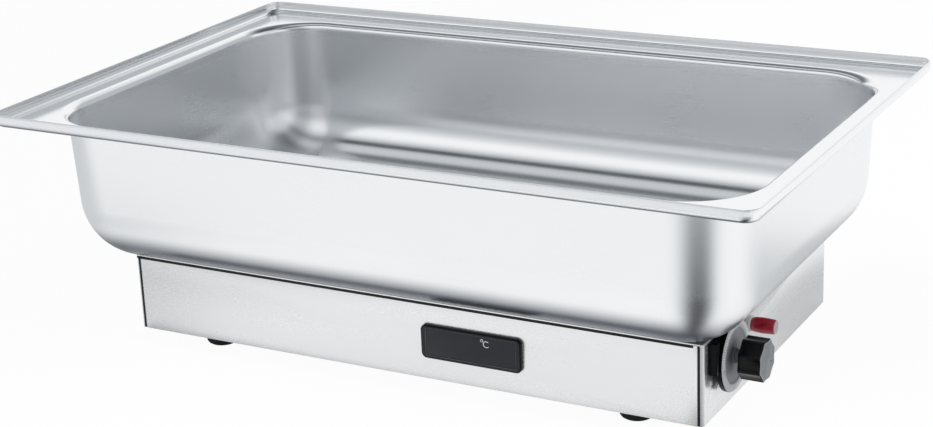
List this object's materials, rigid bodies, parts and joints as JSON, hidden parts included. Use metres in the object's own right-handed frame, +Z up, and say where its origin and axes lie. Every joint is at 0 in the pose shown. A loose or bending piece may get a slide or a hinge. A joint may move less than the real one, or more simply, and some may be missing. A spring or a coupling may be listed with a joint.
{
  "type": "electric bain-marie",
  "caption": "Countertop water bath: a deep, wide-rimmed steel pan on a low heated base, with a round heat knob and a pilot lamp at one end and a display in front.",
  "frame": {"origin": "under the middle of the pan's rim, on the surface that the feet stand on", "axes": "+X along the length, towards the end with the knob; the display faces -Y; +Z up"},
  "size_m": [0.56, 0.36, 0.18],
  "materials": {
    "pan_steel": "bright satin",
    "panel_steel": "fine satin",
    "zinc_steel": "zinc plated",
    "black_rubber": "matt",
    "black_plastic": "satin",
    "knob_plastic": "satin",
    "dial_plastic": "matt grey with paler ring",
    "cap_metal": "matt",
    "smoked_window": "smoked, glossy",
    "cell_glass": "liquid-crystal cell",
    "board_green": "lacquered",
    "lead_insulation": "matt",
    "copper": "drawn",
    "brass": "turned",
    "ceramic_parts": "unglazed",
    "lens_red": "translucent red",
    "lamp_plastic": "satin",
    "lamp_glass": "clear with an orange glow",
    "spreader_aluminium": "rolled",
    "insulation": "mineral felt",
    "tray_aluminium": "bright rolled"
  },
  "bodies": {
    "base": {"water_pan": "pan_steel", "seat_rail_front": "panel_steel", "seat_rail_back": "panel_steel", "seat_rail_left": "panel_steel", "seat_rail_right": "panel_steel", "front_panel": "panel_steel", "back_panel": "panel_steel", "left_panel": "panel_steel", "right_panel": "panel_steel", "corner_brackets": "zinc_steel", "front_seal": "black_rubber", "back_seal": "black_rubber", "bottom_plate": "panel_steel", "base_screws": "zinc_steel", "foot_front_left": "black_rubber", "foot_front_right": "black_rubber", "foot_back_left": "black_rubber", "foot_back_right": "black_rubber", "foot_screws": "zinc_steel", "plate_nuts": "zinc_steel", "display_frame": "black_plastic", "display_window": "smoked_window", "display_cell": "cell_glass", "display_board": "board_green", "display_cover": "black_plastic", "display_clips": "black_plastic", "temperature_probe": "zinc_steel", "probe_clip": "zinc_steel", "probe_lead": "lead_insulation", "control_plate": "black_plastic", "control_screws": "zinc_steel", "thermostat_body": "ceramic_parts", "dial": "dial_plastic", "sensing_bulb": "copper", "bulb_clip": "zinc_steel", "capillary": "copper", "lamp_lens": "lens_red", "lamp_socket": "lamp_plastic", "lamp_nut": "zinc_steel", "lamp_bulb": "lamp_glass", "heat_spreader": "spreader_aluminium", "heating_element": "zinc_steel", "clamp_bars": "zinc_steel", "pan_studs": "zinc_steel", "stud_nuts": "zinc_steel", "stud_washers": "zinc_steel", "thermal_cutout": "ceramic_parts", "insulation_pad": "insulation", "reflector_tray": "tray_aluminium", "inlet_socket": "black_plastic", "inlet_pins": "brass", "inlet_screws": "zinc_steel", "inlet_nuts": "zinc_steel", "terminal_block": "ceramic_parts", "earth_stud": "brass", "wires": "lead_insulation"},
    "knob": {"spindle": "brass", "knob_body": "knob_plastic", "knob_cap": "cap_metal", "knob_screw": "zinc_steel"}
  },
  "joints": [
    {"name": "knob_turn", "type": "hinge", "parent": "base", "child": "knob", "pos_m": [0.2263, -0.0795, 0.0446], "axis": [-1, 0, 0], "range_deg": [0, 270]}
  ]
}
